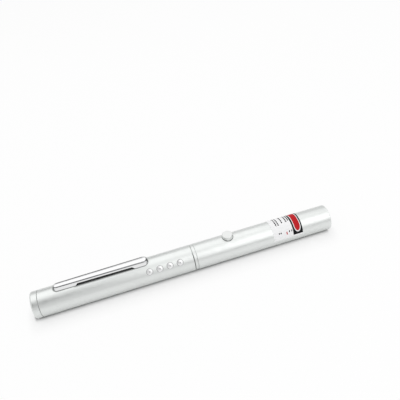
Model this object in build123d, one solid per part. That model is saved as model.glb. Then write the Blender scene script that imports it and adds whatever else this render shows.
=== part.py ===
from build123d import *
import math
import os

# A pen-shaped laser pointer on two AAA cells, in millimetres.
# It is drawn along +X from its rear tip at x = 0 to its front face, with its axis on the X axis and +Z
# up through the clip and the button. Each piece is then moved so that the pen lies on z = 0 with its
# middle over the origin.

# Whole pen
front_wall = 0.88            # wall of the front barrel, whose bore follows from the cells
cut_overrun = 1.0            # how far a cut runs past the surface it leaves
press_gap = 0.02             # radial gap of pieces pressed or glued together
slide_gap = 0.15             # radial gap of the button in its hole
contact_gap = 0.05           # gap between contacts that only touch
cell_gap = 0.3               # radial gap round the cells

# Cells, size AAA
cell_length = 44.5
cell_d = 10.5
wrap_thickness = 0.15
wrap_overlap = 0.7           # how far the wrap stops short of the flat end
nub_d = 3.8
nub_height = 1.0
plus_cap_inset = 1.4         # from the side of the can to the side of the positive cap
plus_cap_thickness = 0.5
seal_thickness = 0.4
can_edge_radius = 0.5
can_wall = 0.25

# End cap
cap_head_length = 4.6
cap_dome_height = 1.0
cap_rim_radius = 1.0
cap_floor_thickness = 3.7
plug_length = 6.0
plug_wall = 1.2
thread_pitch = 0.75
thread_depth = 0.3
thread_gap = 0.1
seam_gap = 0.12              # fine line between the cap and the rear barrel
cap_edge_chamfer = 0.12

# Cap spring
spring_wire_d = 0.7
spring_gap = 0.35            # between the spring and the bore of the plug
spring_turns = 4.5
quarters_per_turn = 4
arcs_per_quarter = 2
arc_sample_shares = (0, 1 / 3, 2 / 3)

# Rear barrel and joint ring
ring_inset = 15.4            # from the ring back edge to the front end of the cells
ring_width = 1.8
ring_relief = 0.05           # how far the ring lies below the barrels
rear_groove_chamfer = 0.28
front_groove_chamfer = 0.16
spigot_length = 8.0
spigot_wall = 0.55

# Front barrel
nose_chamfer = 0.35
nose_recess = 0.3            # how far the aperture ring lies behind the front face

# Pocket clip: widths and heights at its root and at its tip, which the arm between them joins
clip_inset = 8.0             # from the end of the rear barrel
clip_root_length = 10.8      # as far as the root's sides are down on the barrel
clip_root_rise = 1.75        # length in which they rise to the arm
clip_tip_length = 7.0        # as far as the tip's sides are down on the barrel
clip_tip_rise = 2.0
clip_root_top_width = 3.5
clip_root_base_width = 4.8
clip_root_height = 1.85      # top edges above the barrel
clip_root_corner = 0.45
clip_root_lip_height = 0.9   # underside of the arm above the barrel, at the root's end
clip_tip_top_width = 4.5
clip_tip_base_width = 5.6
clip_tip_height = 2.0
clip_tip_corner = 0.7
clip_tip_lip_height = 0.9
clip_skirt = 0.8             # how far the sides are drawn below the top of the barrel
clip_crown = 0.35
clip_sheet = 0.45
clip_seat_gap = 0.08
foot_inset = 1.9
foot_length = 2.6
foot_width = 2.2
foot_gap = 0.2
retainer_margin = 1.4
retainer_thickness = 0.4
retainer_cover = 0.1         # metal left between the retainer's inner face and the bore

# Grip studs
stud_count = 4
stud_pitch = 5.43
stud_to_ring = 7.56          # from the middle of the last stud to the joint ring
stud_overlap = 1.0           # how far the clip reaches past the middle of the first stud
stud_d = 3.5
stud_angle = 53.0            # degrees from the clip line, towards -Y
stud_rim_height = 0.1
stud_dome_height = 0.38
stud_dimple_d = 0.9          # small turned hollow in the middle of each dome
stud_dimple_depth = 0.15
stud_depth = 0.8

# Push button
button_inset = 3.65          # from the rear edge of the board
button_d = 5.8
button_height = 1.8
button_edge_radius = 0.3
button_flange_d = 7.2
button_flange_thickness = 0.6
button_flange_play = 0.3

# Switch
switch_side = 6.0
switch_height = 3.4
switch_cover_thickness = 0.2
plunger_d = 3.5
plunger_reach = 1.3          # plunger above the cover
plunger_flange_d = 4.8
plunger_flange_thickness = 0.5
switch_cavity_d = 5.3
switch_floor = 1.3
dome_sheet = 0.1
plunger_gap = 0.15
leg_width = 0.8
leg_thickness = 0.3
leg_spread = 2.25            # half the distance between the legs of one side
leg_top_share = 0.35
leg_hole_gap = 0.1
leg_tail = 0.5

# Driver board and its cradle
board_inset = 1.17           # from the bore of the cradle to the side of the board
board_tail = 2.75            # bare end of the board, where the leads are soldered
board_thickness = 1.0
board_gap = 0.05
disc_thickness = 1.0
cradle_gap = 0.15
cradle_wall = 1.1
cradle_overhang = 0.4
rivet_head_d = 4.4
rivet_head_thickness = 0.3
rivet_shank_d = 1.6
rivet_tail_d = 2.6

# Driver parts on the board
chip_gap = 1.95              # from the switch to the chip
chip_length = 4.9
chip_width = 3.9
chip_height = 1.5
chip_leg_count = 4
chip_leg_pitch = 1.27
chip_leg_reach = 1.0
chip_leg_width = 0.4
chip_leg_thickness = 0.2
row_gap = 1.3                # from the chip to the row of transistor and capacitor
transistor_length = 1.3
transistor_width = 2.9
transistor_height = 1.1
transistor_share = 0.25      # offset to the side, as a share of the board's width
capacitor_length = 1.7
capacitor_width = 3.4
capacitor_height = 1.6
capacitor_share = 0.23
trim_gap = 0.85              # from that row to the trimmer
trim_side = 3.4
trim_height = 1.4
trim_screw_d = 2.2
trim_screw_height = 0.5
trim_slot_width = 0.4
trim_slot_depth = 0.25
resistor_count = 2
resistor_pitch = 2.2
resistor_length = 2.0
resistor_width = 1.25
resistor_height = 0.5
resistor_share = 0.354

# Leads
lead_d = 0.8
lead_start_inset = 1.6
lead_share = 1 / 3           # offset to the side, as a share of the board's width
lead_bend_radius = 0.8
lead_end_run = 0.65          # straight end of a lead at its pin

# Laser module
lead_space = 3.55            # between the board and the module
module_gap = 0.12            # radial gap of the module in the front barrel
module_wall = 1.0
holder_length = 5.0
diode_base_d = 5.6
diode_base_thickness = 1.2
diode_can_d = 4.2
diode_can_length = 2.3
diode_can_wall = 0.25
diode_hole_d = 1.6
diode_window_d = 2.8
diode_window_thickness = 0.3
diode_inset = 1.0
pin_d = 0.45
pin_circle_d = 2.54
pin_length = 2.4
crystal_holder_length = 6.5
crystal_side = 2.0
laser_crystal_length = 1.0
doubling_crystal_length = 2.5
crystal_bore_d = 3.0
crystal_inset = 0.6
expander_length = 4.0
expander_bore_d = 3.6
expander_lens_d = 5.0
expander_lens_thickness = 1.6
expander_lens_dish = 0.5
filter_length = 2.6
filter_d = 6.0
filter_thickness = 1.0
filter_bore_d = 5.0
stack_gap = 0.2              # between pieces that follow each other in the module
beam_space = 3.3             # between the filter and the lens cell
lens_cell_length = 10.0
lens_cell_inset = 0.3
lens_seat_share = 0.4        # share of the lens cell that lies in front of the lens's seat
lens_rim = 0.63              # metal left round the lens below the thread
lens_edge_thickness = 1.4
lens_crown = 0.9
lens_land = 0.6              # how far a shoulder or ring reaches in over the lens
lens_ring_length = 1.0
lens_thread_pitch = 1.0
lens_thread_depth = 0.25

# Aperture ring and label
aperture_d = 5.0
aperture_gap = 0.4           # between the module and the aperture ring
aperture_ring_length = 1.9
aperture_flare = 0.8
label_inset = 0.5            # from the rear end of the module
label_width = 16.9
label_thickness = 0.1
label_wrap = 180.0           # degrees round the barrel, centred on the clip line

# Sizes that follow from the ones above: radii
can_r = cell_d / 2 - wrap_thickness
plus_cap_r = can_r - plus_cap_inset
cell_bore_r = cell_d / 2 + cell_gap
front_bore_r = cell_bore_r + spigot_wall + press_gap
barrel_r = front_bore_r + front_wall
plug_crest_r = cell_bore_r + thread_depth
plug_root_r = plug_crest_r - thread_depth
plug_bore_r = plug_root_r - plug_wall
mouth_bore_r = plug_crest_r + thread_gap
disc_r = front_bore_r - cradle_gap
board_width = 2 * (disc_r - board_inset)
module_r = front_bore_r - module_gap
module_bore_r = module_r - module_wall
insert_r = module_bore_r - press_gap
lens_r = insert_r - lens_thread_depth - lens_rim

# Stations from the rear tip to the front face
rear_barrel_start = cap_head_length + seam_gap
plug_end = cap_head_length + plug_length
mouth_end = plug_end + thread_pitch
rear_cell_start = mouth_end + thread_gap
front_cell_start = rear_cell_start + cell_length
cells_end = front_cell_start + cell_length
ring_start = cells_end - ring_inset
ring_end = ring_start + ring_width
stud_first = ring_start - stud_to_ring - (stud_count - 1) * stud_pitch
clip_start = rear_barrel_start + clip_inset
clip_root_end = clip_start + clip_root_length
clip_arm_start = clip_root_end + clip_root_rise
clip_end = stud_first + stud_overlap
clip_tip_start = clip_end - clip_tip_length
clip_arm_end = clip_tip_start - clip_tip_rise
disc_start = cells_end + contact_gap + rivet_head_thickness
disc_end = disc_start + disc_thickness
board_start = disc_end + rivet_head_thickness + cradle_gap
button_station = board_start + button_inset
chip_station = button_station + switch_side / 2 + chip_gap + chip_length / 2
row_station = chip_station + chip_length / 2 + row_gap + capacitor_length / 2
trim_station = row_station + capacitor_length / 2 + trim_gap + trim_side / 2
board_end = trim_station + trim_side / 2 + board_tail
module_start = board_end + lead_space
crystal_start = module_start + holder_length + stack_gap
expander_start = crystal_start + crystal_holder_length + stack_gap
filter_start = expander_start + expander_length + stack_gap
lens_cell_start = filter_start + filter_length + beam_space
lens_seat = lens_cell_start + lens_cell_length * (1 - lens_seat_share)
module_end = lens_cell_start + lens_cell_length + lens_cell_inset
aperture_ring_start = module_end + aperture_gap
pen_length = aperture_ring_start + aperture_ring_length + nose_recess
label_start = module_start + label_inset

# Heights above the axis
button_top = barrel_r + button_height
button_flange_r = button_flange_d / 2
button_flange_top = math.sqrt(front_bore_r ** 2 - button_flange_r ** 2) - button_flange_play
button_bottom = button_flange_top - button_flange_thickness
switch_top = button_bottom - plunger_reach
board_top = switch_top - switch_height
board_bottom = board_top - board_thickness


def turned(*points):
    """Turned piece: the closed outline of (station, radius) points, spun round the pen's axis."""
    outline = Polyline(*[(station, 0, radius) for station, radius in points], close=True)
    return revolve(make_face(outline), Axis.X)


def turned_line(*lines):
    """Turned piece from joined lines and arcs drawn in the plane of stations and radii."""
    return revolve(make_face(Wire(Curve() + list(lines))), Axis.X)


def at(station, radius):
    """Point of an outline: station along the pen, radius from its axis."""
    return Vector(station, 0, radius)


def upright_at(height, radius):
    """Point of an outline that is spun round Z."""
    return Vector(radius, 0, height)


def dome_arc(apex, rim, radius, place=at):
    """Arc of a ball centred on the axis, from its apex to a rim of the given radius."""
    height = rim - apex
    ball_r = (radius ** 2 + height ** 2) / (2 * abs(height))
    drop = ball_r - math.sqrt(ball_r ** 2 - (radius / 2) ** 2)
    middle = apex + math.copysign(drop, height)
    return ThreePointArc(place(apex, 0), place(middle, radius / 2), place(rim, radius))


def block(x_low, x_high, y_low, y_high, z_low, z_high):
    """Rectangular block between the given limits."""
    size = Box(x_high - x_low, y_high - y_low, z_high - z_low, align=Align.MIN)
    return Pos(x_low, y_low, z_low) * size


def upright(x, z_low, z_high, radius, y=0):
    """Upright round post with its axis along Z."""
    post = Cylinder(radius, z_high - z_low, align=(Align.CENTER, Align.CENTER, Align.MIN))
    return Pos(x, y, z_low) * post


def rod(x_low, x_high, radius, y=0, z=0):
    """Round rod along X."""
    bar = Cylinder(radius, x_high - x_low, align=(Align.CENTER, Align.CENTER, Align.MIN))
    return Pos(x_low, y, z) * (Rot(0, 90, 0) * bar)


def tooth_points(start, end, valley_r, tip_r, pitch):
    """Points of a row of V teeth between two stations, valleys first: the row starts and ends low."""
    count = int((end - start) / pitch)
    first = start + (end - start - count * pitch) / 2
    points = []
    for tooth in range(count):
        points.append((first + tooth * pitch, valley_r))
        points.append((first + (tooth + 1 / 2) * pitch, tip_r))
    points.append((first + count * pitch, valley_r))
    return points


# End cap: a domed head with a rounded rim and a hollow threaded plug
def end_cap():
    flat_r = barrel_r - cap_rim_radius
    rim_mid = cap_rim_radius * (1 - math.sqrt(1 / 2))
    dome = dome_arc(0, cap_dome_height, flat_r)
    rim = ThreePointArc(
        at(cap_dome_height, flat_r),
        at(cap_dome_height + rim_mid, barrel_r - rim_mid),
        at(cap_dome_height + cap_rim_radius, barrel_r),
    )
    teeth_start = cap_head_length + thread_pitch / 2
    teeth = tooth_points(teeth_start, plug_end, plug_root_r, plug_crest_r, thread_pitch)
    body = Polyline(
        at(cap_dome_height + cap_rim_radius, barrel_r),
        at(cap_head_length - cap_edge_chamfer, barrel_r),
        at(cap_head_length, barrel_r - cap_edge_chamfer),
        at(cap_head_length, plug_root_r),
        *[at(station, radius) for station, radius in teeth],
        at(plug_end, plug_bore_r),
        at(cap_floor_thickness, plug_bore_r),
        at(cap_floor_thickness, 0),
        at(0, 0),
    )
    return turned_line(dome, rim, body)


# Cap spring: quarter turns of a helix, each drawn as two arcs that meet with one tangent
def helix_arcs(start, end, radius, turns):
    rise = (end - start) / (turns * 2 * math.pi)

    def on_helix(angle):
        return Vector(start + rise * angle, radius * math.cos(angle), radius * math.sin(angle))

    def along_helix(angle):
        return Vector(rise, -radius * math.sin(angle), radius * math.cos(angle)).normalized()

    arcs = []
    for quarter in range(int(turns * quarters_per_turn)):
        low, high = quarter * math.pi / 2, (quarter + 1) * math.pi / 2
        first, last = on_helix(low), on_helix(high)
        leave, arrive = along_helix(low), along_helix(high)
        span, both = last - first, leave + arrive
        square, linear = both.dot(both) - 4, span.dot(both)
        reach = (linear - math.sqrt(linear ** 2 - square * span.dot(span))) / square
        guide_out, guide_in = first + leave * reach, last - arrive * reach
        middle = (guide_out + guide_in) / 2
        arcs.append(Edge.make_tangent_arc(first, leave, middle))
        arcs.append(Edge.make_tangent_arc(middle, guide_in - guide_out, last))
    return arcs


def least_gap(arcs, wire_d):
    """Least clear distance between a coil's turns, from points along it half a turn or more apart."""
    points = [arc @ share for arc in arcs for share in arc_sample_shares]
    apart = quarters_per_turn * arcs_per_quarter * len(arc_sample_shares) // 2
    return min(
        (points[one] - points[two]).length
        for one in range(len(points))
        for two in range(one + apart, len(points))
    ) - wire_d


def cap_spring():
    wire_r = spring_wire_d / 2
    start = cap_floor_thickness + contact_gap + wire_r
    end = rear_cell_start - contact_gap - wire_r
    arcs = helix_arcs(start, end, plug_bore_r - spring_gap - wire_r, spring_turns)
    print("spring: least gap to itself %.2f mm" % least_gap(arcs, spring_wire_d))
    path = Wire(arcs)
    section = Plane(origin=path @ 0, z_dir=path % 0) * Circle(wire_r)
    return sweep(section, path=path)


# Cells
def cell_pieces(start):
    """Can, filling, wrap, seal and positive cap of one cell that starts at the given station."""
    end = start + cell_length
    can_end = end - nub_height - plus_cap_thickness - seal_thickness
    hollow_r = can_r - can_wall
    can = turned(
        (start, 0), (start, can_r - can_edge_radius), (start + can_edge_radius, can_r),
        (can_end - can_edge_radius, can_r), (can_end, can_r - can_edge_radius), (can_end, plus_cap_r),
        (can_end - can_wall, plus_cap_r), (can_end - can_wall, hollow_r - can_edge_radius),
        (can_end - can_wall - can_edge_radius, hollow_r), (start + can_wall + can_edge_radius, hollow_r),
        (start + can_wall, hollow_r - can_edge_radius), (start + can_wall, 0),
    )
    core_start = start + can_wall + press_gap
    core_end = can_end - can_wall - press_gap
    core_r = hollow_r - press_gap
    core = turned(
        (core_start, 0), (core_start, core_r - can_edge_radius), (core_start + can_edge_radius, core_r),
        (core_end - can_edge_radius, core_r), (core_end, core_r - can_edge_radius), (core_end, 0),
    )
    wrap = turned(
        (start + wrap_overlap, can_r), (start + wrap_overlap, cell_d / 2),
        (can_end - can_edge_radius, cell_d / 2), (can_end - can_edge_radius, can_r),
    )
    seal = rod(can_end, can_end + seal_thickness, plus_cap_r + seal_thickness)
    shoulder = end - nub_height
    plus = turned(
        (can_end + seal_thickness, 0), (can_end + seal_thickness, plus_cap_r),
        (shoulder, plus_cap_r - plus_cap_thickness / 2), (shoulder, nub_d / 2),
        (end - nub_height / 4, nub_d / 2), (end, nub_d / 2 - nub_height / 4), (end, 0),
    )
    return {"can": can, "core": core, "wrap": wrap, "seal": seal, "plus": plus}


# Barrel halves and the coupler between them
def clip_foot(gap=0):
    """Foot under the root of the clip, or the slot for it when a gap is given."""
    start = clip_start + foot_inset
    low = cell_bore_r + retainer_cover
    high = barrel_r + clip_root_height - clip_sheet / 2
    half = foot_width / 2 + gap
    return block(start - gap, start + foot_length + gap, -half, half, low - gap, high)


def curved_plate(inner_r, gap):
    """Plate round the foot, curved like the bore, with a gap added to its edges and its outer side."""
    start = clip_start + foot_inset - retainer_margin - gap
    end = clip_start + foot_inset + foot_length + retainer_margin + gap
    half = foot_width / 2 + retainer_margin + gap
    outer_r = cell_bore_r + retainer_cover + retainer_thickness + gap
    shell = rod(start, end, outer_r) - rod(start, end, inner_r)
    return shell & block(start, end, -half, half, 0, barrel_r)


def clip_retainer():
    return curved_plate(cell_bore_r + retainer_cover, 0) - clip_foot(foot_gap)


def stud_place(index):
    return Pos(stud_first + index * stud_pitch, 0, 0) * Rot(stud_angle, 0, 0)


def grip_stud():
    """One stud, pointing up from the pen's axis."""
    low, rim = barrel_r - stud_depth, barrel_r + stud_rim_height
    stud_r = stud_d / 2
    top = rim + stud_dome_height
    side = Polyline((stud_r, 0, rim), (stud_r, 0, low), (0, 0, low), (0, 0, top))
    dome = dome_arc(top, rim, stud_r, upright_at)
    dimple_r = ((stud_dimple_d / 2) ** 2 + stud_dimple_depth ** 2) / (2 * stud_dimple_depth)
    dimple = Pos(0, 0, top - stud_dimple_depth + dimple_r) * Sphere(dimple_r)
    return revolve(make_face(Curve() + [side, dome]), Axis.Z) - dimple


def stud_hole():
    low = barrel_r - stud_depth - press_gap
    return upright(0, low, barrel_r + cut_overrun, stud_d / 2 + press_gap)


def rear_barrel():
    counterbore_start = ring_start - spigot_length
    valley_r = mouth_bore_r + thread_depth
    teeth = tooth_points(rear_barrel_start + thread_pitch, mouth_end, mouth_bore_r, valley_r, thread_pitch)
    shell = turned(
        (rear_barrel_start, mouth_bore_r + cap_edge_chamfer),
        (rear_barrel_start, barrel_r - cap_edge_chamfer),
        (rear_barrel_start + cap_edge_chamfer, barrel_r),
        (ring_start - rear_groove_chamfer, barrel_r),
        (ring_start, barrel_r - rear_groove_chamfer),
        (ring_start, front_bore_r),
        (counterbore_start, front_bore_r),
        (counterbore_start, cell_bore_r),
        (mouth_end, cell_bore_r),
        *reversed(teeth),
        (rear_barrel_start + cap_edge_chamfer, mouth_bore_r),
    )
    shell -= clip_foot(foot_gap)
    shell -= curved_plate(cell_d / 2, press_gap)
    for index in range(stud_count):
        shell -= stud_place(index) * stud_hole()
    return shell


def joint_coupler():
    collar_r = barrel_r - ring_relief
    spigot_r = front_bore_r - press_gap
    start = ring_start - spigot_length + press_gap
    end = ring_end + spigot_length
    return turned(
        (start, cell_bore_r), (start, spigot_r),
        (ring_start, spigot_r), (ring_start, collar_r - rear_groove_chamfer),
        (ring_start + rear_groove_chamfer, collar_r), (ring_end - front_groove_chamfer, collar_r),
        (ring_end, collar_r - front_groove_chamfer), (ring_end, spigot_r),
        (end, spigot_r), (end, cell_bore_r),
    )


def front_barrel():
    shell = turned(
        (ring_end, front_bore_r), (ring_end, barrel_r - front_groove_chamfer),
        (ring_end + front_groove_chamfer, barrel_r), (pen_length - nose_chamfer, barrel_r),
        (pen_length, barrel_r - nose_chamfer), (pen_length, front_bore_r),
    )
    hole = upright(button_station, 0, barrel_r + cut_overrun, button_d / 2 + slide_gap)
    return shell - hole


def grip_studs():
    return [stud_place(index) * grip_stud() for index in range(stud_count)]


# Pocket clip: a pressed sheet with a crowned top, sloping sides and two round ends
def clip_profile(top_width, base_width, height, corner, inset):
    """Half section of the clip, from its middle out, as points (offset, height)."""
    low = barrel_r - clip_skirt
    edge = barrel_r + height
    slope = (base_width - top_width) / 2 / (edge - low)
    shift = inset * math.sqrt(1 + slope ** 2)
    edge -= inset
    corner_y = top_width / 2 + slope * inset - shift
    bend = max(corner - inset, press_gap)
    crown_y = corner_y - bend
    crown_r = (corner_y ** 2 + clip_crown ** 2) / (2 * clip_crown)
    crown_z = edge + math.sqrt(crown_r ** 2 - crown_y ** 2) - crown_r + clip_crown
    side_y, side_z = corner_y + slope * bend, edge - bend
    low_y = corner_y + slope * (edge - low)
    return crown_r, edge + clip_crown, (crown_y, crown_z), (corner_y, edge), (side_y, side_z), (low_y, low)


def clip_half_edges(side, crown_r, top, crown_end, corner, side_start, foot):
    """Edges of one half section in the plane x = 0; side is 1 or -1."""
    mid_y = crown_end[0] / 2
    mid_z = top - crown_r + math.sqrt(crown_r ** 2 - mid_y ** 2)
    places = [(0, 0, top), (0, side * mid_y, mid_z), (0, side * crown_end[0], crown_end[1])]
    crown = ThreePointArc(*places)
    bend = Bezier(crown @ 1, (0, side * corner[0], corner[1]), (0, side * side_start[0], side_start[1]))
    wall = Line(bend @ 1, (0, side * foot[0], foot[1]))
    return [crown, bend, wall]


def clip_body(inset):
    """Outer shape of the clip, or the hollow inside its sheet when an inset is given."""
    root = (clip_root_top_width, clip_root_base_width, clip_root_height, clip_root_corner, inset)
    tip = (clip_tip_top_width, clip_tip_base_width, clip_tip_height, clip_tip_corner, inset)
    rear = clip_start + clip_root_base_width / 2
    front = clip_end - clip_tip_base_width / 2
    shapes, sections = [], []
    for station, sizes, turn in ((rear, root, 1), (front, tip, -1)):
        profile = clip_profile(*sizes)
        low = profile[-1][1]
        near, far = clip_half_edges(-1, *profile), clip_half_edges(1, *profile)
        base = Line(near[-1] @ 1, far[-1] @ 1)
        sections.append(Pos(station, 0, 0) * make_face(Curve() + [*near, *far, base]))
        axis_line = Line((0, 0, low), (0, 0, profile[1]))
        half = make_face(Curve() + [*far, Line((0, 0, low), far[-1] @ 1), axis_line])
        shapes.append(Pos(station, 0, 0) * revolve(half, Axis.Z, turn * 180))
    shapes.append(loft(sections, ruled=True))
    return shapes[0] + shapes[2] + shapes[1]


def clip():
    low = barrel_r - clip_skirt
    under = Polyline(
        (clip_root_end, 0, 0), (clip_root_end, 0, low), (clip_arm_start, 0, barrel_r + clip_root_lip_height),
        (clip_arm_end, 0, barrel_r + clip_tip_lip_height), (clip_tip_start, 0, low), (clip_tip_start, 0, 0),
        close=True,
    )
    window = extrude(make_face(under), amount=clip_tip_base_width, both=True)
    shell = clip_body(0) - clip_body(clip_sheet) - window
    shell -= rod(0, pen_length, barrel_r + clip_seat_gap)
    return shell + clip_foot()


# Button
def button_cap():
    body = upright(button_station, button_bottom, button_top, button_d / 2)
    body = fillet(body.edges().sort_by(Axis.Z)[-1], button_edge_radius)
    flange = upright(button_station, button_bottom, button_flange_top, button_flange_r)
    return body + flange


# Switch under the button
def switch_housing():
    half = switch_side / 2
    body = block(button_station - half, button_station + half, -half, half, board_top,
                 switch_top - switch_cover_thickness)
    return body - upright(button_station, board_top + switch_floor, switch_top, switch_cavity_d / 2)


def switch_cover():
    half = switch_side / 2
    plate = block(button_station - half, button_station + half, -half, half,
                  switch_top - switch_cover_thickness, switch_top)
    return plate - upright(button_station, board_top, button_top, plunger_d / 2 + slide_gap)


def switch_plunger():
    flange_top = switch_top - switch_cover_thickness - contact_gap
    stem = upright(button_station, flange_top - plunger_flange_thickness, button_bottom, plunger_d / 2)
    flange = upright(button_station, flange_top - plunger_flange_thickness, flange_top, plunger_flange_d / 2)
    return stem + flange


def switch_dome():
    """Thin sprung disc, arched up under the plunger."""
    rim_r = switch_cavity_d / 2 - plunger_gap
    low = board_top + switch_floor
    flange_top = switch_top - switch_cover_thickness - contact_gap
    high = flange_top - plunger_flange_thickness - contact_gap
    upper = dome_arc(high, low + dome_sheet, rim_r, upright_at)
    lower = dome_arc(high - dome_sheet, low, rim_r, upright_at)
    edges = [upper, Line(upper @ 1, lower @ 1), lower, Line(lower @ 0, upper @ 0)]
    return Pos(button_station, 0, 0) * revolve(make_face(Curve() + edges), Axis.Z)


def switch_leg(side, end, gap=0):
    """One leg of the switch, or its hole in the board when a gap is given."""
    middle = button_station + end * leg_spread
    inner = switch_side / 2 - gap
    outer = switch_side / 2 + leg_thickness + gap
    low, high = sorted((side * inner, side * outer))
    half = leg_width / 2 + gap
    leg_top = board_top + switch_height * leg_top_share
    return block(middle - half, middle + half, low, high, board_bottom - leg_tail, leg_top)


def switch_legs(gap=0):
    return [switch_leg(side, end, gap) for side in (-1, 1) for end in (-1, 1)]


# Driver board, its cradle and the front contact
def driver_board():
    half = board_width / 2
    board = block(board_start, board_end, -half, half, board_bottom, board_top)
    for hole in switch_legs(leg_hole_gap):
        board -= hole
    return board


def board_carrier():
    start, end = disc_end, board_end + cradle_overhang
    hollow_r = disc_r - cradle_wall
    trough = rod(start, end, disc_r) & block(start, end, -disc_r, disc_r, -disc_r, board_top)
    trough -= rod(start, end, hollow_r) & block(start, end, -disc_r, disc_r, -disc_r, board_bottom)
    half = board_width / 2 + board_gap
    trough -= block(start, end, -half, half, board_bottom, board_top)
    for hole in switch_legs(leg_hole_gap):
        trough -= hole
    return trough


def contact_disc():
    return rod(disc_start, disc_end, disc_r) - rod(disc_start, disc_end, rivet_shank_d / 2 + press_gap)


def contact_rivet():
    head_start = disc_start - rivet_head_thickness
    tail_end = disc_end + rivet_head_thickness
    return turned(
        (head_start, 0), (head_start, rivet_head_d / 2), (disc_start, rivet_head_d / 2),
        (disc_start, rivet_shank_d / 2), (disc_end, rivet_shank_d / 2), (disc_end, rivet_tail_d / 2),
        (tail_end, rivet_tail_d / 2), (tail_end, 0),
    )


def on_board(station, offset, length, width, height):
    """Block that stands on the board, centred on a station and an offset to the side."""
    return block(station - length / 2, station + length / 2, offset - width / 2, offset + width / 2,
                 board_top, board_top + height)


def driver_chip():
    raised = Pos(0, 0, chip_leg_thickness) * on_board(chip_station, 0, chip_length, chip_width,
                                                      chip_height - chip_leg_thickness)
    return chamfer(raised.edges().group_by(Axis.Z)[-1], chip_leg_thickness)


def chip_leg(station, side):
    """One bent leg of the chip: out from its side, down, and out along the board."""
    half = chip_leg_width / 2
    out = chip_width / 2
    knee = out + chip_leg_reach / 2
    middle = board_top + chip_height / 2
    outline = Polyline(
        (station - half, side * out, middle), (station - half, side * knee, middle),
        (station - half, side * knee, board_top + chip_leg_thickness),
        (station - half, side * (out + chip_leg_reach), board_top + chip_leg_thickness),
        (station - half, side * (out + chip_leg_reach), board_top),
        (station - half, side * (knee - chip_leg_thickness), board_top),
        (station - half, side * (knee - chip_leg_thickness), middle - chip_leg_thickness),
        (station - half, side * out, middle - chip_leg_thickness),
        close=True,
    )
    return extrude(make_face(outline), amount=chip_leg_width, dir=(1, 0, 0))


def chip_legs():
    first = chip_station - chip_leg_pitch * (chip_leg_count - 1) / 2
    return [
        chip_leg(first + index * chip_leg_pitch, side)
        for index in range(chip_leg_count)
        for side in (-1, 1)
    ]


def transistor():
    offset = -transistor_share * board_width
    return on_board(row_station, offset, transistor_length, transistor_width, transistor_height)


def capacitor():
    offset = capacitor_share * board_width
    return on_board(row_station, offset, capacitor_length, capacitor_width, capacitor_height)


def trim_pot():
    return on_board(trim_station, 0, trim_side, trim_side, trim_height)


def trim_screw():
    low = board_top + trim_height
    screw = upright(trim_station, low, low + trim_screw_height, trim_screw_d / 2)
    half = trim_slot_width / 2
    slot = block(trim_station - trim_screw_d, trim_station + trim_screw_d, -half, half,
                 low + trim_screw_height - trim_slot_depth, low + trim_screw_height + cut_overrun)
    return screw - slot


def resistors():
    first = trim_station - resistor_pitch * (resistor_count - 1) / 2
    offset = resistor_share * board_width
    return [
        on_board(first + index * resistor_pitch, side * offset,
                 resistor_width, resistor_length, resistor_height)
        for index in range(resistor_count)
        for side in (-1, 1)
    ]


# Leads from the board to the pump diode
def lead(side):
    lead_r = lead_d / 2
    pin_end = module_start + diode_inset - pin_length
    lift = board_top + lead_r
    start = board_end - lead_start_inset
    pad_y = side * lead_share * board_width
    pin_y = side * pin_circle_d / 2
    route = FilletPolyline(
        (start, pad_y, lift), (board_end + lead_r + contact_gap, pad_y, lift),
        (pin_end - lead_end_run, pin_y, 0), (pin_end, pin_y, 0),
        radius=lead_bend_radius,
    )
    return sweep(Plane(origin=route @ 0, z_dir=route % 0) * Circle(lead_r), path=route)


# Laser module, from rear to front
def module_housing():
    return rod(module_start, module_end, module_r) - rod(module_start, module_end, module_bore_r)


def diode_holder():
    base_start = module_start + diode_inset
    base_end = base_start + diode_base_thickness
    end = module_start + holder_length
    base_r, can_r = diode_base_d / 2 + press_gap, diode_can_d / 2 + press_gap
    return turned(
        (module_start, base_r), (module_start, insert_r), (end, insert_r), (end, can_r),
        (base_end, can_r), (base_end, base_r),
    )


def pump_diode():
    base_start = module_start + diode_inset
    base_end = base_start + diode_base_thickness
    can_end = base_end + diode_can_length
    can_r, hole_r = diode_can_d / 2, diode_hole_d / 2
    inner_r = can_r - diode_can_wall
    return turned(
        (base_start, 0), (base_start, diode_base_d / 2), (base_end, diode_base_d / 2), (base_end, can_r),
        (can_end, can_r), (can_end, hole_r), (can_end - diode_can_wall, hole_r),
        (can_end - diode_can_wall, inner_r), (base_end, inner_r), (base_end, 0),
    )


def diode_window():
    front = module_start + diode_inset + diode_base_thickness + diode_can_length - diode_can_wall
    return rod(front - diode_window_thickness, front, diode_window_d / 2)


def diode_pins():
    end = module_start + diode_inset
    circle_r = pin_circle_d / 2
    places = [(circle_r, 0), (-circle_r, 0), (0, -circle_r)]
    return [rod(end - pin_length, end, pin_d / 2, y, z) for y, z in places]


def crystal_holder():
    end = crystal_start + crystal_holder_length
    return rod(crystal_start, end, insert_r) - rod(crystal_start, end, crystal_bore_d / 2)


def crystal(start, length):
    half = crystal_side / 2
    return block(start, start + length, -half, half, -half, half)


def expander_cell():
    end = expander_start + expander_length
    seat_r = expander_lens_d / 2 + press_gap
    return turned(
        (expander_start, expander_bore_d / 2), (expander_start, insert_r), (end, insert_r), (end, seat_r),
        (end - expander_lens_thickness, seat_r), (end - expander_lens_thickness, expander_bore_d / 2),
    )


def expander_lens():
    end = expander_start + expander_length
    start = end - expander_lens_thickness
    dish_r = expander_bore_d / 2
    rim = Polyline(
        at(start, dish_r), at(start, expander_lens_d / 2), at(end, expander_lens_d / 2), at(end, 0),
        at(start + expander_lens_dish, 0),
    )
    return turned_line(rim, dome_arc(start + expander_lens_dish, start, dish_r))


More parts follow.
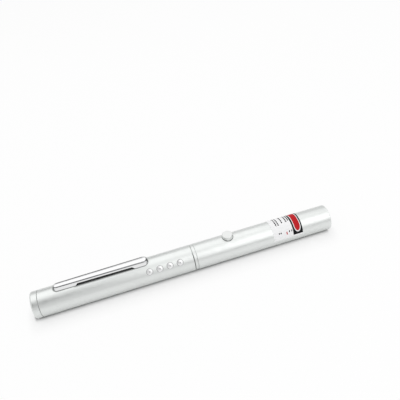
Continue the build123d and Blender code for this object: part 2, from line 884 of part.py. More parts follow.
def filter_ring():
    end = filter_start + filter_length
    seat_r = filter_d / 2 + press_gap
    return turned(
        (filter_start, filter_bore_d / 2), (filter_start, insert_r), (end, insert_r), (end, seat_r),
        (end - filter_thickness, seat_r), (end - filter_thickness, filter_bore_d / 2),
    )


def ir_filter():
    end = filter_start + filter_length
    return rod(end - filter_thickness, end, filter_d / 2)


def lens_cell():
    start, end = lens_cell_start, lens_cell_start + lens_cell_length
    seat_r = lens_r + press_gap
    root_r = insert_r - lens_thread_depth
    margin = lens_thread_pitch / 2
    teeth = tooth_points(start + margin, end - margin, root_r, insert_r, lens_thread_pitch)
    return turned(
        (start, lens_r - lens_land), (start, root_r), *teeth, (end, root_r), (end, seat_r),
        (lens_seat, seat_r), (lens_seat, lens_r - lens_land),
    )


def collimating_lens():
    rim_front = lens_seat + lens_edge_thickness
    crown_r = lens_r - lens_land - press_gap
    rim = Polyline(
        at(rim_front, crown_r), at(rim_front, lens_r), at(lens_seat, lens_r), at(lens_seat, 0),
        at(rim_front + lens_crown, 0),
    )
    return turned_line(rim, dome_arc(rim_front + lens_crown, rim_front, crown_r))


def lens_ring():
    start = lens_seat + lens_edge_thickness
    end = start + lens_ring_length
    return rod(start, end, lens_r) - rod(start, end, lens_r - lens_land)


# Front end and label
def aperture_ring():
    start = aperture_ring_start
    end = start + aperture_ring_length
    outer_r = front_bore_r - press_gap
    hole_r = aperture_d / 2
    return turned(
        (start, hole_r), (start, outer_r), (end, outer_r), (end, hole_r + aperture_flare),
        (end - aperture_flare, hole_r),
    )


def label():
    inner_r = barrel_r + press_gap
    outer_r = inner_r + label_thickness
    corners = [(label_start, inner_r), (label_start, outer_r), (label_start + label_width, outer_r),
               (label_start + label_width, inner_r)]
    strip = make_face(Polyline(*[at(station, radius) for station, radius in corners], close=True))
    return Rot(-label_wrap / 2, 0, 0) * revolve(strip, Axis.X, label_wrap)


def build_pieces():
    """Name and shape of every piece; a group of like pieces is a list of solids."""
    laser_start = crystal_start + crystal_inset
    pieces = {
        "rear_barrel": rear_barrel(),
        "front_barrel": front_barrel(),
        "joint_coupler": joint_coupler(),
        "end_cap": end_cap(),
        "cap_spring": cap_spring(),
        "clip": clip(),
        "clip_retainer": clip_retainer(),
        "grip_studs": grip_studs(),
        "label": label(),
        "button_cap": button_cap(),
        "switch_plunger": switch_plunger(),
        "switch_dome": switch_dome(),
        "switch_housing": switch_housing(),
        "switch_cover": switch_cover(),
        "switch_legs": switch_legs(),
        "contact_disc": contact_disc(),
        "contact_rivet": contact_rivet(),
        "board_carrier": board_carrier(),
        "driver_board": driver_board(),
        "driver_chip": driver_chip(),
        "chip_legs": chip_legs(),
        "transistor": transistor(),
        "capacitor": capacitor(),
        "trim_pot": trim_pot(),
        "trim_screw": trim_screw(),
        "resistors": resistors(),
        "red_lead": lead(-1),
        "black_lead": lead(1),
        "module_housing": module_housing(),
        "diode_holder": diode_holder(),
        "pump_diode": pump_diode(),
        "diode_window": diode_window(),
        "diode_pins": diode_pins(),
        "crystal_holder": crystal_holder(),
        "laser_crystal": crystal(laser_start, laser_crystal_length),
        "doubling_crystal": crystal(laser_start + laser_crystal_length, doubling_crystal_length),
        "expander_cell": expander_cell(),
        "expander_lens": expander_lens(),
        "filter_ring": filter_ring(),
        "ir_filter": ir_filter(),
        "lens_cell": lens_cell(),
        "collimating_lens": collimating_lens(),
        "lens_ring": lens_ring(),
        "aperture_ring": aperture_ring(),
    }
    for name, start in (("rear_cell", rear_cell_start), ("front_cell", front_cell_start)):
        for piece, shape in cell_pieces(start).items():
            pieces[name + "_" + piece] = shape
    return pieces


os.makedirs("parts", exist_ok=True)
stand = Pos(-pen_length / 2, 0, barrel_r)
for node, shape in build_pieces().items():
    solids = shape if isinstance(shape, list) else shape.solids()
    placed = [stand * solid for solid in solids]
    export_step(Compound(children=placed) if len(placed) > 1 else placed[0], "parts/" + node + ".step")
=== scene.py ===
import bpy
from mathutils import Matrix, Vector


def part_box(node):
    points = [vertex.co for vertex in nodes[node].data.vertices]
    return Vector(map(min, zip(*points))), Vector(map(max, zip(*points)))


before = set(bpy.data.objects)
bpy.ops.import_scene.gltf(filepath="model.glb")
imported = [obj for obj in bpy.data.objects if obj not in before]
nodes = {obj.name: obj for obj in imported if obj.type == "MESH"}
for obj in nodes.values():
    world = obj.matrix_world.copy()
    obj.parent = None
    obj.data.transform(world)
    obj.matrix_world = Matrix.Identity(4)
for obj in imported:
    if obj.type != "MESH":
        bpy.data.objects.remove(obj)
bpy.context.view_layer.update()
print("frame loaded:", len(nodes), "nodes")


# Units: finishes measure in millimetres, and a full turn is in radians
perMetre = 1000
fullTurn = 6.2832


# Pen: middle (from where the cap's rim starts) and radius in millimetres, axis above the floor in metres
pen = {
    "middle": 81.4,
    "axisHeight": 0.007,
    "barrelRadius": 7.0,
}


# Camera: stands at the near side of the pen's rear half and looks down along it
cameraSetup = {
    "place": (-0.02550, -0.17380, 0.17470),
    "right": (0.9488, -0.2931, -0.1175),
    "up": (0.2670, 0.5458, 0.7942),
    "lens": 40.5,
    "sensor": 36,
    "nearEnd": 0.005,
}


def addCamera(setup):
    data = bpy.data.cameras.new("camera")
    data.lens = setup["lens"]
    data.sensor_width = setup["sensor"]
    data.clip_start = setup["nearEnd"]
    holder = bpy.data.objects.new("camera", data)
    bpy.context.scene.collection.objects.link(holder)
    right = Vector(setup["right"]).normalized()
    up = Vector(setup["up"])
    up = (up - right * up.dot(right)).normalized()
    back = right.cross(up)
    turn = Matrix((right, up, back)).transposed().to_4x4()
    holder.matrix_world = Matrix.Translation(setup["place"]) @ turn
    bpy.context.scene.camera = holder


addCamera(cameraSetup)
print("camera placed")


# Shader maths: a signal is the output of a node, and sums of signals add their own nodes
class Signal:
    def __init__(self, network, socket):
        self.network = network
        self.socket = socket

    def reckon(self, operation, *others):
        values = {0: self}
        for place, other in enumerate(others):
            values[place + 1] = other
        return self.network.add("ShaderNodeMath", {"operation": operation}, values)

    def __add__(self, other):
        return self.reckon("ADD", other)

    def __sub__(self, other):
        return self.reckon("SUBTRACT", other)

    def __mul__(self, other):
        return self.reckon("MULTIPLY", other)

    def __truediv__(self, other):
        return self.reckon("DIVIDE", other)

    def __rsub__(self, other):
        return self.network.add("ShaderNodeMath", {"operation": "SUBTRACT"}, {0: other, 1: self})

    def __rtruediv__(self, other):
        return self.network.add("ShaderNodeMath", {"operation": "DIVIDE"}, {0: other, 1: self})

    def __lt__(self, other):
        return self.reckon("LESS_THAN", other)

    def __gt__(self, other):
        return self.reckon("GREATER_THAN", other)

    __radd__ = __add__
    __rmul__ = __mul__

    def size(self):
        return self.reckon("ABSOLUTE")

    def part(self):
        return self.reckon("FRACT")

    def least(self, other):
        return self.reckon("MINIMUM", other)

    def most(self, other):
        return self.reckon("MAXIMUM", other)

    def between(self, low, high):
        return (self > low) * (self < high)

    def distance(self, other):
        return (self * self + other * other).reckon("SQRT")


def strongest(signals):
    top, *others = signals
    for other in others:
        top = top.most(other)
    return top


class Network:
    def __init__(self, tree):
        self.tree = tree

    def add(self, kind, settings=None, values=None, output=0):
        node = self.tree.nodes.new(kind)
        for name, value in (settings or {}).items():
            if name == "stops":
                self.fillRamp(node.color_ramp, value)
            else:
                setattr(node, name, value)
        for name, value in (values or {}).items():
            if isinstance(value, Signal):
                self.tree.links.new(value.socket, node.inputs[name])
            else:
                node.inputs[name].default_value = value
        return Signal(self, node.outputs[output])

    def fillRamp(self, ramp, stops):
        while len(ramp.elements) < len(stops):
            ramp.elements.new(1)
        for element, (place, shade) in zip(ramp.elements, stops):
            element.position = place
            element.color = grey(shade)

    def split(self, vector):
        outputs = self.add("ShaderNodeSeparateXYZ", None, {0: vector}).socket.node.outputs
        return [Signal(self, outputs[name]) for name in "XYZ"]

    def towards(self, vector, axis):
        return self.add("ShaderNodeVectorMath", {"operation": "DOT_PRODUCT"}, {0: vector, 1: axis}, "Value")

    def graded(self, signal, low, high, lowEnd=0.0, highEnd=1.0):
        values = {"Value": signal, "From Min": lowEnd, "From Max": highEnd, "To Min": low, "To Max": high}
        return self.add("ShaderNodeMapRange", None, values)

    def mixed(self, share, first, second):
        values = {0: share, 6: first, 7: second}   # the colour sockets of a Mix node
        return self.add("ShaderNodeMix", {"data_type": "RGBA"}, values, 2)


class Finish(Network):
    def __init__(self, name, **constants):
        self.material = bpy.data.materials.new(name)
        self.material.use_nodes = True
        super().__init__(self.material.node_tree)
        self.shader = self.tree.nodes["Principled BSDF"]
        for socket, value in constants.items():
            self.shader.inputs[socket.replace("_", " ")].default_value = value
        self.place = self.add("ShaderNodeTexCoord", output="Object")

    def feed(self, socket, signal):
        self.tree.links.new(signal.socket, self.shader.inputs[socket])

    def stretched(self, scale):
        return self.add("ShaderNodeMapping", None, {"Vector": self.place, "Scale": scale})

    def noise(self, scale, detail, roughness, place=None):
        values = {"Vector": place or self.place, "Scale": scale, "Detail": detail, "Roughness": roughness}
        return self.add("ShaderNodeTexNoise", None, values, "Fac")

    def bump(self, height, strength, distance):
        values = {"Height": height, "Strength": strength, "Distance": distance}
        self.feed("Normal", self.add("ShaderNodeBump", None, values, "Normal"))

    def cover(self, *names):
        for name in names:
            mesh = nodes[name].data
            mesh.materials.clear()
            mesh.materials.append(self.material)


def grey(value, tint=0.0):
    return (value - tint, value, value + tint, 1.0)


def along(finish):
    return finish.split(finish.place)[0] * perMetre + pen["middle"]   # from the cap's rim


def outward(finish):
    across, up = finish.split(finish.place)[1:]
    return across.distance(up - pen["axisHeight"]) * perMetre   # from the axis


def around(finish):
    across, up = finish.split(finish.place)[1:]
    height = up - pen["axisHeight"]
    turned = finish.add("ShaderNodeMath", {"operation": "ARCTAN2"}, {0: across * -1, 1: height})
    return turned * pen["barrelRadius"]   # round the barrel from the clip line, towards the studs


# In the finishes below, noise is scale, detail and roughness, a bump is strength and depth in metres, and
# roughness is its two values and the part of the noise that runs from one to the other


# Satin aluminium of the barrel halves, the joint ring and the end cap, with painted shade in its grooves, a
# painted shadow under the clip's arm and round the clip's feet
satin = {
    "colour": (0.795, 0.815, 0.803, 1),
    "wornColour": grey(0.90),
    "shadedColour": (0.10, 0.105, 0.105, 1),
    "roughness": (0.33, 0.41, 0.3, 0.7),
    "bump": (0.5, 0.000004),
    "grain": (9000, 2, 0.6),
    "turning": (1, 1, 0.5),
    "turningScale": (16000, 60, 60),
    "turningShare": 0.25,
    "cloud": (260, 3, 0.55),
    "wornEdges": ((4.0, 0.16), (163.3, 0.25)),
    "wornRange": (0.45, 0.6),
    "wornPolish": 0.12,
    # painted shade in the grooves: place, reach and how dark
    "shadedGrooves": ((4.0, 0.5, 0.5), (84.35, 0.7, 0.9), (86.15, 0.7, 0.6)),
    "grooveDepth": (6.72, 6.97),
    "grooveShadeTop": 0.15,             # painted groove shade is weaker along the top than down the sides
    "grooveReach": (3.0, 6.5),
    # painted shadow on the barrel under the clip's arm: start, end and softness, then its reach round the
    # barrel and how dark
    "shadowUnderClip": (22.0, 56.0, 1.2),
    "shadowUnderClipReach": (2.4, 3.3),
    "shadowUnderClipShare": 0.85,
    "clipFootShadows": ((14.4, 22.8, 2.3), (54.0, 58.3, 2.7)),   # painted contact shadow round where each end is down, and its half width
    "clipFootShadowReach": 0.5,
    "clipFootShadowShare": 0.7,
}


def coverSatin(setup):
    finish = Finish("satinAluminium", Metallic=1.0)
    grain = finish.noise(*setup["grain"])
    turning = finish.noise(*setup["turning"], finish.stretched(setup["turningScale"]))
    cloud = finish.noise(*setup["cloud"])
    station, side = along(finish), around(finish).size()
    worn = strongest(1 - ((station - place).size() / reach).least(1) for place, reach in setup["wornEdges"])
    worn = worn * finish.graded(cloud, 0, 1, *setup["wornRange"])
    # painted shade in the grooves, weaker along the top
    shadedGrooves = strongest(((station - place).size() < reach) * depth
                        for place, reach, depth in setup["shadedGrooves"])
    shadedGrooves = shadedGrooves * finish.graded(outward(finish), 1, 0, *setup["grooveDepth"])
    shadedGrooves = shadedGrooves * finish.graded(side, setup["grooveShadeTop"], 1, *setup["grooveReach"])
    # painted shadow under the clip's arm
    start, end, soft = setup["shadowUnderClip"]
    shade = finish.graded(station, 0, 1, start, start + soft) * finish.graded(station, 1, 0, end - soft, end)
    shade = shade * finish.graded(side, setup["shadowUnderClipShare"], 0, *setup["shadowUnderClipReach"])
    # painted contact shadow round each of the clip's feet
    for first, last, half in setup["clipFootShadows"]:
        beyond = (first - station).most(station - last).most(0)
        outside = beyond.distance(side) - half
        shade = shade.most(finish.graded(outside, setup["clipFootShadowShare"], 0, 0, setup["clipFootShadowReach"]))
    finish.feed("Roughness", finish.graded(cloud, *setup["roughness"]) - worn * setup["wornPolish"])
    colour = finish.mixed(worn, setup["colour"], setup["wornColour"])
    finish.feed("Base Color", finish.mixed(shadedGrooves.most(shade), colour, setup["shadedColour"]))
    finish.bump(grain + turning * setup["turningShare"], *setup["bump"])
    finish.cover("rear_barrel", "front_barrel", "joint_coupler", "end_cap")


coverSatin(satin)


# Polished chrome of the pocket clip, with painted shade where it comes down on the barrel and on its
# underside, and painted dark reflections along its rounded edges
chrome = {
    "colour": grey(0.84, 0.004),
    "shadeAndReflectionColour": grey(0.05, 0.002),
    "darkShare": 0.9,
    "roughness": (0.055, 0.115, 0.5, 0.8),
    "bump": (0.4, 0.0000006),
    "scratches": (1, 2, 0.6),
    "scratchScale": (500, 14000, 14000),
    "smear": (420, 3, 0.6),
    "seamShadeReach": (7.10, 7.42),     # from the axis: painted shade where the clip comes down on the barrel
    # painted shade on the clip's underside, below this height and within this half width
    "shadedHollowTop": 8.75,
    "shadedHollowHalf": 1.3,
    "reflectionEdgeSlopes": (0.38, 0.52, 0.84, 0.93),   # how upright a rounded edge is where its painted dark reflection line runs
    "edgeReflectionShare": 0.75,
}


def coverChrome(setup):
    finish = Finish("polishedChrome", Metallic=1.0)
    scratches = finish.noise(*setup["scratches"], finish.stretched(setup["scratchScale"]))
    smear = finish.noise(*setup["smear"])
    across, up = finish.split(finish.place)[1:]
    # painted shade where the clip meets the barrel and on its underside
    under = (up - pen["axisHeight"]) * perMetre < setup["shadedHollowTop"]
    shadedHollow = under * (across.size() * perMetre < setup["shadedHollowHalf"])
    seamShade = finish.graded(outward(finish), 1, 0, *setup["seamShadeReach"]).most(shadedHollow)
    # painted dark reflection lines along the clip's rounded edges
    upright = finish.split(finish.add("ShaderNodeTexCoord", output="Normal"))[2]
    low, lowFull, highFull, high = setup["reflectionEdgeSlopes"]
    edge = finish.graded(upright, 0, 1, low, lowFull) * finish.graded(upright, 1, 0, highFull, high)
    dark = seamShade.most(edge * setup["edgeReflectionShare"]) * setup["darkShare"]
    finish.feed("Base Color", finish.mixed(dark, setup["colour"], setup["shadeAndReflectionColour"]))
    finish.feed("Roughness", finish.graded(smear, *setup["roughness"]))
    finish.bump(scratches, *setup["bump"])
    finish.cover("clip")


coverChrome(chrome)


# Studs: soft polish, with a painted dark rim of shade where each one meets the barrel and a grey dot painted
# in its middle
studs = {
    "colour": grey(0.94, 0.002),
    "dullColour": grey(0.88, 0.002),
    "rimShadeColour": grey(0.22, 0.002),
    "middleDotColour": grey(0.45, 0.002),
    "metalShare": 0.55,
    "roughness": (0.30, 0.38, 0.35, 0.7),
    "bump": (0.5, 0.0000005),
    "grain": (5200, 2, 0.5),
    "cloud": (900, 3, 0.6),
    "firstMiddle": 60.5,
    "pitch": 5.43,
    "arc": 6.48,                   # from the clip line round the barrel
    "middleDotReach": (0.30, 0.50),
    "rimShadeReach": (1.40, 1.72),
}


def coverStuds(setup):
    finish = Finish("softPolish", Metallic=setup["metalShare"])
    grain = finish.noise(*setup["grain"])
    cloud = finish.noise(*setup["cloud"])
    row = (along(finish) - setup["firstMiddle"]) / setup["pitch"] + 0.5
    offset = (row.part() - 0.5) * setup["pitch"]
    reach = offset.distance(around(finish) - setup["arc"])
    # a grey dot painted in each stud's middle
    middleDot = finish.graded(reach, 1, 0, *setup["middleDotReach"])
    # painted shade round the rim where each stud meets the barrel
    rimShade = finish.graded(reach, 0, 1, *setup["rimShadeReach"])
    colour = finish.mixed(cloud, setup["colour"], setup["dullColour"])
    colour = finish.mixed(middleDot, colour, setup["middleDotColour"])
    finish.feed("Base Color", finish.mixed(rimShade, colour, setup["rimShadeColour"]))
    finish.feed("Roughness", finish.graded(cloud, *setup["roughness"]))
    finish.bump(grain, *setup["bump"])
    finish.cover("grip_studs")


coverStuds(studs)


# Push button: satin face with fine turned rings, and a painted shade line where it goes into the barrel
button = {
    "colour": (0.80, 0.815, 0.805, 1),
    "seamShadeColour": grey(0.12, 0.002),
    "roughness": (0.32, 0.41, 0.3, 0.7),
    "bump": (0.5, 0.000003),
    "grain": (7000, 2, 0.6),
    "cloud": (1100, 3, 0.6),
    "ringPitch": 0.11,
    "ringShare": 0.4,
    "seamShadeReach": (7.10, 7.38),
}


def coverButton(setup):
    finish = Finish("turnedButton", Metallic=1.0)
    low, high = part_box("button_cap")
    middle = (low.x + high.x) / 2 * perMetre + pen["middle"]
    across = finish.split(finish.place)[1] * perMetre
    ring = (along(finish) - middle).distance(across) / setup["ringPitch"]
    grain = finish.noise(*setup["grain"])
    cloud = finish.noise(*setup["cloud"])
    # painted shade where the button goes into the barrel
    seamShade = finish.graded(outward(finish), 1, 0, *setup["seamShadeReach"])
    finish.feed("Base Color", finish.mixed(seamShade, setup["colour"], setup["seamShadeColour"]))
    finish.feed("Roughness", finish.graded(cloud, *setup["roughness"]))
    finish.bump((ring * fullTurn).reckon("SINE") * setup["ringShare"] + grain, *setup["bump"])
    finish.cover("button_cap")


coverButton(button)


# Label: white film with a black end panel, a plain red stripe on it and plain rules and ticks
label = {
    "white": (0.96, 0.96, 0.965, 1),
    "creasedWhite": (0.91, 0.91, 0.92, 1),
    "black": (0.004, 0.004, 0.005, 1),
    "red": (0.52, 0.008, 0.014, 1),
    "ink": (0.015, 0.013, 0.014, 1),
    "shine": 0.15,
    "roughness": (0.40, 0.50, 0.3, 0.7),
    "bump": (0.2, 0.000004),
    "paper": (2600, 3, 0.6),
    "panel": (140.4, 146.0),
    "panelReach": 10.2,
    "stripeMiddle": 143.3,
    "stripeHalf": 1.6,
    "stripeReach": 5.3,
    "stripeTaper": 0.55,
    "stripeEdge": 0.36,
    "rules": ((132.2, 2.8), (133.5, 2.8), (135.9, 2.0), (138.4, 1.9), (139.7, 1.6)),   # place and near end
    "ruleHalf": 0.34,
    "ruleFarEnd": -8.6,
    "dashLength": 1.25,
    "dashShare": 0.8,
    "dashShift": 0.37,             # so the dashes of two rules don't line up
    "ticks": ((132.5, 0.32, 7.2, 0.4, "ink"), (133.5, 0.32, 7.2, 0.4, "ink"), (136.8, 0.28, 8.0, 0.8, "red"),
              (138.4, 0.28, 7.3, 0.5, "ink"), (139.7, 0.28, 7.3, 0.5, "ink")),
}


def coverLabel(setup):
    finish = Finish("labelFilm", Specular_IOR_Level=setup["shine"])
    station, arc = along(finish), around(finish)
    panel = station.between(*setup["panel"]) * (arc.size() < setup["panelReach"])
    outside = (arc.size() - setup["stripeReach"]).most(0) * setup["stripeTaper"]
    reach = outside.distance((station - setup["stripeMiddle"]).size())
    stripe = reach < setup["stripeHalf"]
    edge = reach < setup["stripeHalf"] + setup["stripeEdge"]
    dashes = (arc / setup["dashLength"] + station * setup["dashShift"]).part() < setup["dashShare"]
    half = setup["ruleHalf"]
    rules = strongest(station.between(place - half, place + half) * arc.between(setup["ruleFarEnd"], end)
                      for place, end in setup["rules"])
    paper = finish.noise(*setup["paper"])
    colour = finish.mixed(paper, setup["white"], setup["creasedWhite"])
    colour = finish.mixed(rules * dashes, colour, setup["ink"])
    for place, half, middle, tall, ink in setup["ticks"]:
        tick = station.between(place - half, place + half) * arc.between(middle - tall, middle + tall)
        colour = finish.mixed(tick, colour, setup[ink])
    colour = finish.mixed(panel, colour, setup["black"])
    colour = finish.mixed(panel * edge, colour, setup["white"])
    colour = finish.mixed(panel * stripe, colour, setup["red"])
    finish.feed("Base Color", colour)
    finish.feed("Roughness", finish.graded(paper, *setup["roughness"]))
    finish.bump(paper, *setup["bump"])
    finish.cover("label")


coverLabel(label)
print("outer finishes done")


# Inner pieces: one row each, with colour, second colour, roughness, metallic share, pattern scale and depth
innerFinishes = {
    "nickelSteel": (grey(0.66), grey(0.58), 0.30, 1.0, 1800, 0.000002,
                    ("cap_spring", "switch_dome", "clip_retainer", "rear_cell_can", "front_cell_can",
                     "rear_cell_plus", "front_cell_plus")),
    "tinnedMetal": (grey(0.70), grey(0.60), 0.36, 1.0, 2400, 0.000002,
                    ("switch_cover", "switch_legs", "chip_legs")),
    "cellFilling": (grey(0.10), grey(0.06), 0.85, 0.0, 3200, 0.00001,
                    ("rear_cell_core", "front_cell_core")),
    "blackPlastic": (grey(0.045), grey(0.03), 0.48, 0.0, 4200, 0.000005,
                     ("rear_cell_seal", "front_cell_seal", "switch_plunger", "switch_housing",
                      "board_carrier", "driver_chip", "transistor")),
    "whitePlastic": (grey(0.80), grey(0.74), 0.50, 0.0, 3600, 0.000004, ("contact_disc",)),
    "bluePlastic": ((0.04, 0.13, 0.45, 1), (0.03, 0.10, 0.38, 1), 0.38, 0.0, 3800, 0.000004, ("trim_pot",)),
    "firedCeramic": ((0.55, 0.40, 0.24, 1), (0.46, 0.33, 0.20, 1), 0.55, 0.0, 4200, 0.000005,
                     ("capacitor", "resistors")),
    "redWire": ((0.52, 0.03, 0.02, 1), (0.44, 0.02, 0.02, 1), 0.42, 0.0, 3000, 0.000004, ("red_lead",)),
    "blackWire": (grey(0.03), grey(0.02), 0.42, 0.0, 3000, 0.000004, ("black_lead",)),
    "turnedBrass": ((0.78, 0.58, 0.27, 1), (0.68, 0.49, 0.22, 1), 0.26, 1.0, 5200, 0.000003,
                    ("trim_screw", "module_housing", "diode_holder", "crystal_holder", "expander_cell",
                     "lens_cell")),
    "goldPlate": ((0.88, 0.66, 0.28, 1), (0.80, 0.58, 0.24, 1), 0.18, 1.0, 3000, 0.000002,
                  ("contact_rivet", "pump_diode", "diode_pins")),
    "blackAnodised": (grey(0.045), grey(0.03), 0.38, 0.6, 5200, 0.000004,
                      ("aperture_ring", "filter_ring", "lens_ring")),
}
innerPattern = {
    "noise": (3, 0.6),
    "coarser": 6,                  # by how much the clouds are coarser than the grain
    "cloudRange": (0.35, 0.65),
    "grainRange": (0.3, 0.7),
    "smoother": 0.05,
    "rougher": 0.08,
    "bumpStrength": 0.5,
}


def coverInner(name, setup, pattern):
    first, second, roughness, metallic, scale, depth, members = setup
    finish = Finish(name, Metallic=metallic)
    cloud = finish.noise(scale / pattern["coarser"], *pattern["noise"])
    grain = finish.noise(scale, *pattern["noise"])
    rough = finish.graded(grain, roughness - pattern["smoother"], roughness + pattern["rougher"],
                          *pattern["grainRange"])
    share = finish.graded(cloud, 0, 1, *pattern["cloudRange"])
    finish.feed("Base Color", finish.mixed(share, first, second))
    finish.feed("Roughness", rough)
    finish.bump(grain, pattern["bumpStrength"], depth)
    finish.cover(*members)


for finishName, finishSetup in innerFinishes.items():
    coverInner(finishName, finishSetup, innerPattern)


# Board: green mask with copper tracks showing through it
board = {
    "mask": (0.012, 0.16, 0.055, 1),
    "track": (0.035, 0.27, 0.10, 1),
    "fibre": (0.02, 0.10, 0.04, 1),
    "fibreShare": 0.2,
    "coat": 0.4,
    "roughness": (0.28, 0.40, 0.3, 0.7),
    "bump": (0.5, 0.00001),
    "weave": (5200, 2, 0.6),
    "weaveShare": 0.3,
    "pitch": 1.27,
    "bends": (0.7, 0.12),
    "trackHalf": 0.16,
    "breaks": (3.1, 0.37, 0.8),    # length, shift from track to track, and share that is track
}


def coverBoard(setup):
    finish = Finish("boardMask", Coat_Weight=setup["coat"])
    station = along(finish)
    lane = finish.split(finish.place)[1] * perMetre / setup["pitch"]
    weave = finish.noise(*setup["weave"])
    closeness, sway = setup["bends"]
    length, shift, share = setup["breaks"]
    line = ((lane + (station * closeness).reckon("SINE") * sway).part() - 0.5).size() < setup["trackHalf"]
    tracks = line * ((station / length + lane.reckon("FLOOR") * shift).part() < share)
    colour = finish.mixed(tracks, setup["mask"], setup["track"])
    finish.feed("Base Color", finish.mixed(weave * setup["fibreShare"], colour, setup["fibre"]))
    finish.feed("Roughness", finish.graded(weave, *setup["roughness"]))
    finish.bump(tracks + weave * setup["weaveShare"], *setup["bump"])
    finish.cover("driver_board")


coverBoard(board)


# Cell wraps: dark blue film with a copper-coloured band at the plus end
cellWrap = {
    "film": (0.012, 0.045, 0.16, 1),
    "band": (0.62, 0.30, 0.12, 1),
    "line": grey(0.75),
    "bandLength": 9.0,
    "lineReach": (9.6, 10.0),
    "bandMetal": 0.7,
    "coat": (0.6, 0.12),
    "roughness": (0.26, 0.36, 0.3, 0.7),
    "bump": (0.3, 0.000003),
    "fine": (2600, 2, 0.5),
    "cells": ("rear_cell_wrap", "front_cell_wrap"),
}


def coverCell(setup, name):
    coat, coatRoughness = setup["coat"]
    finish = Finish(name + "Film", Coat_Weight=coat, Coat_Roughness=coatRoughness)
    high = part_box(name)[1]
    fromEnd = high.x * perMetre + pen["middle"] - along(finish)
    fine = finish.noise(*setup["fine"])
    band = fromEnd < setup["bandLength"]
    colour = finish.mixed(band, setup["film"], setup["band"])
    colour = finish.mixed(fromEnd.between(*setup["lineReach"]), colour, setup["line"])
    finish.feed("Base Color", colour)
    finish.feed("Metallic", band * setup["bandMetal"])
    finish.feed("Roughness", finish.graded(fine, *setup["roughness"]))
    finish.bump(fine, *setup["bump"])
    finish.cover(name)


for wrapName in cellWrap["cells"]:
    coverCell(cellWrap, wrapName)


# Glass pieces: windows, lenses, crystals and the infrared filter, each with tint, clearness and index
glassPieces = {
    "clearGlass": ((0.96, 0.99, 0.99, 1), 0.9, 1.52,
                   ("diode_window", "doubling_crystal", "expander_lens", "collimating_lens")),
    "violetCrystal": ((0.70, 0.55, 0.85, 1), 0.75, 1.82, ("laser_crystal",)),
    "greenFilter": ((0.45, 0.78, 0.66, 1), 0.8, 1.55, ("ir_filter",)),
}
haze = {
    "noise": (1400, 2, 0.5),
    "colour": grey(0.85),
    "share": 0.2,
    "roughness": (0.01, 0.05, 0.4, 0.7),
}


def coverGlass(name, setup, hazeSetup):
    tint, clearness, bend, members = setup
    finish = Finish(name, Transmission_Weight=clearness, IOR=bend)
    cloud = finish.noise(*hazeSetup["noise"])
    finish.feed("Base Color", finish.mixed(cloud * hazeSetup["share"], tint, hazeSetup["colour"]))
    finish.feed("Roughness", finish.graded(cloud, *hazeSetup["roughness"]))
    finish.cover(*members)


for glassName, glassSetup in glassPieces.items():
    coverGlass(glassName, glassSetup, haze)
print("inner finishes done")


# Studio: a pale floor with a painted shadow near the pen, two soft lamps and a plain room, with soft darker
# zones that only reflections show
studio = {
    "floorSize": 8.0,
    "floorRoughness": 0.9,
    "floorShine": 0.1,
    "floorColourAndShadow": ((0.06, 0.30), (0.13, 0.94)),       # darker near the pen as a painted shadow, by distance from the pen, where 1 is glowReach
    "floorGlow": ((0.075, 0.0), (0.15, 0.55), (0.40, 0.91)),
    "floorGlowInMetal": ((0.10, 0.0), (0.30, 0.30), (0.70, 0.55)),
    "glowReach": 0.040,
    "endShare": 3,                 # beyond the pen's ends the shadow fades this much sooner
    "roomStops": ((0.0, 0.64), (0.22, 0.74), (0.5, 0.80), (1.0, 0.82)),
    "roomDark": grey(0.04),
    "backdrop": grey(0.985),
    "darkZones": (                                     # where, half width and height, core, how dark
        ((-0.34, -0.66, 0.67), (0.39, 0.39), 0.41, 0.85),   # behind the camera
        ((0.74, 0.52, 0.42), (0.50, 0.50), 0.55, 0.25),     # beyond the nose, at the far side
        ((0.95, -0.10, 0.28), (0.47, 0.47), 0.59, 0.85),    # straight ahead of the nose
        ((0.32, -0.94, 0.06), (0.32, 0.16), 0.40, 0.30),    # low at the near side, ahead of the camera
        ((-0.10, 0.93, 0.36), (0.21, 0.14), 0.60, 0.90),    # beyond the clip, which draws its far edge
    ),
    "lamps": (                                         # name, place, size and power
        ("overheadLamp", (-0.06, 0.20, 0.52), (0.90, 0.60), 0.70),
        ("frontLamp", (0.25, -0.33, 0.40), (0.62, 0.50), 0.66),
    ),
}


def raysOf(network, *kinds):
    outputs = network.add("ShaderNodeLightPath").socket.node.outputs
    return [Signal(network, outputs[kind]) for kind in kinds]


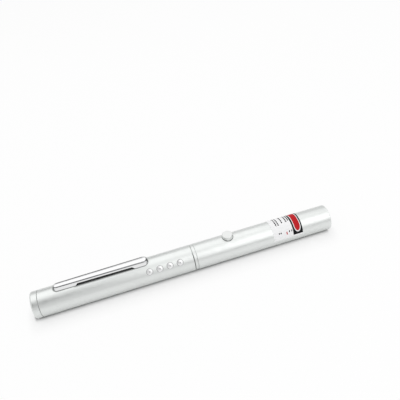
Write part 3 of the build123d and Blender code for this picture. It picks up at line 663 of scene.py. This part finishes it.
def addFloor(setup):
    bpy.ops.object.select_all(action="DESELECT")
    bpy.ops.mesh.primitive_plane_add(size=setup["floorSize"], location=(0, 0, 0))
    floor = bpy.context.object
    floor.name = "floor"
    finish = Finish("floorPaper", Roughness=setup["floorRoughness"], Specular_IOR_Level=setup["floorShine"])
    out, across = finish.split(finish.place)[:2]
    beyond = (out.size() - pen["middle"] / perMetre).most(0) * setup["endShare"]
    away = beyond.distance(across) / setup["glowReach"]
    # the floor's colour darkens near the pen as a painted shadow
    colour, *glows = [finish.add("ShaderNodeValToRGB", {"stops": setup[name]}, {0: away})
                      for name in ("floorColourAndShadow", "floorGlow", "floorGlowInMetal")]
    finish.feed("Base Color", colour)
    camera, glossy, through = raysOf(finish, "Is Camera Ray", "Is Glossy Ray", "Is Transmission Ray")
    seen = (camera * glows[0]).most(glossy.most(through) * glows[1])
    glow = finish.add("ShaderNodeEmission", None, {"Color": grey(1), "Strength": 1.0}, "Emission")
    paper = Signal(finish, finish.shader.outputs[0])
    blend = finish.add("ShaderNodeMixShader", None, {0: seen, 1: paper, 2: glow})
    finish.tree.links.new(blend.socket, finish.tree.nodes["Material Output"].inputs["Surface"])
    floor.data.materials.append(finish.material)


def addLamp(name, place, size, power):
    data = bpy.data.lights.new(name, "AREA")
    data.shape = "RECTANGLE"
    data.size, data.size_y = size
    data.energy = power
    lamp = bpy.data.objects.new(name, data)
    bpy.context.scene.collection.objects.link(lamp)
    lamp.location = place
    lamp.rotation_euler = Vector(place).to_track_quat("Z", "Y").to_euler()


def addRoom(setup):
    world = bpy.data.worlds.new("room")
    bpy.context.scene.world = world
    world.use_nodes = True
    room = Network(world.node_tree)
    direction = room.add("ShaderNodeTexCoord", output="Generated")
    height = room.split(direction)[2]
    level = room.add("ShaderNodeValToRGB", {"stops": setup["roomStops"]}, {0: height})
    for place, (halfWidth, halfHeight), core, share in setup["darkZones"]:
        ahead = Vector(place).normalized()
        side = ahead.cross(Vector((0, 0, 1))).normalized()
        across = room.towards(direction, side) / halfWidth
        up = room.towards(direction, side.cross(ahead)) / halfHeight
        dark = room.graded(across.distance(up), share, 0, core, 1) * (room.towards(direction, ahead) > 0)
        level = room.mixed(dark, level, setup["roomDark"])
    camera, through = raysOf(room, "Is Camera Ray", "Is Transmission Ray")
    level = room.mixed(camera.most(through), level, setup["backdrop"])
    room.tree.links.new(level.socket, room.tree.nodes["Background"].inputs["Color"])


addFloor(studio)
addRoom(studio)
for lampSetup in studio["lamps"]:
    addLamp(*lampSetup)
bpy.context.scene.view_settings.view_transform = "Standard"
print("studio done")
